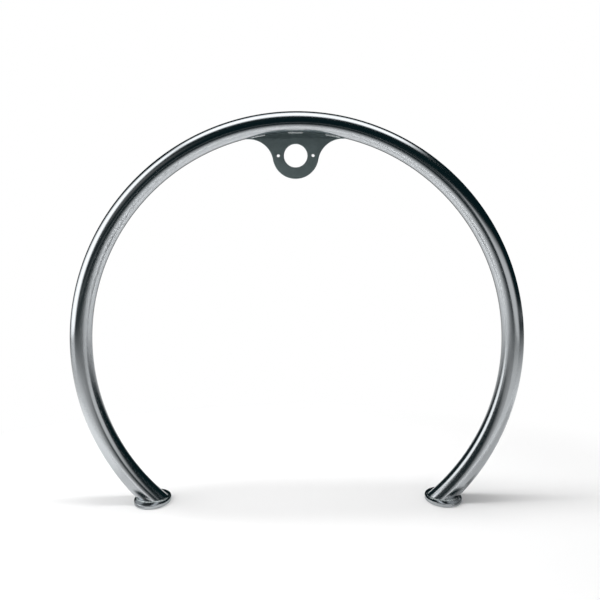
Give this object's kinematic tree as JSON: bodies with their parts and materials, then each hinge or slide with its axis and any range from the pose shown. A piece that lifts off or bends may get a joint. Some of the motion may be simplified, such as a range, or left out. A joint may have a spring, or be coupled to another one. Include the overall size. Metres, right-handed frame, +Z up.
{
  "type": "hoop bike rack",
  "caption": "Bike stand of round stainless tube bent to a large open ring on round foot discs, with an eyed lock plate under its top.",
  "frame": {"origin": "on the ground, midway between the two foot discs, in the hoop's own plane", "axes": "+X along the hoop's width to the right foot, +Y from the front to the back face, +Z up"},
  "size_m": [1.0484, 0.084, 0.9001],
  "materials": {
    "polished_stainless": "stainless steel, electropolished to a mirror",
    "satin_stainless": "stainless sheet, mill finish, electropolished to a soft grain",
    "weld_stainless": "TIG weld bead, electropolished",
    "turned_stainless": "turned stainless bar"
  },
  "bodies": {
    "root": {"hoop_tube": "polished_stainless", "lock_plate": "satin_stainless", "plate_weld_front_left": "weld_stainless", "plate_weld_front_centre": "weld_stainless", "plate_weld_front_right": "weld_stainless", "plate_weld_back_left": "weld_stainless", "plate_weld_back_centre": "weld_stainless", "plate_weld_back_right": "weld_stainless", "left_foot_disc": "polished_stainless", "left_anchor_bush": "turned_stainless", "left_foot_weld": "weld_stainless", "right_foot_disc": "polished_stainless", "right_anchor_bush": "turned_stainless", "right_foot_weld": "weld_stainless"}
  },
  "joints": []
}
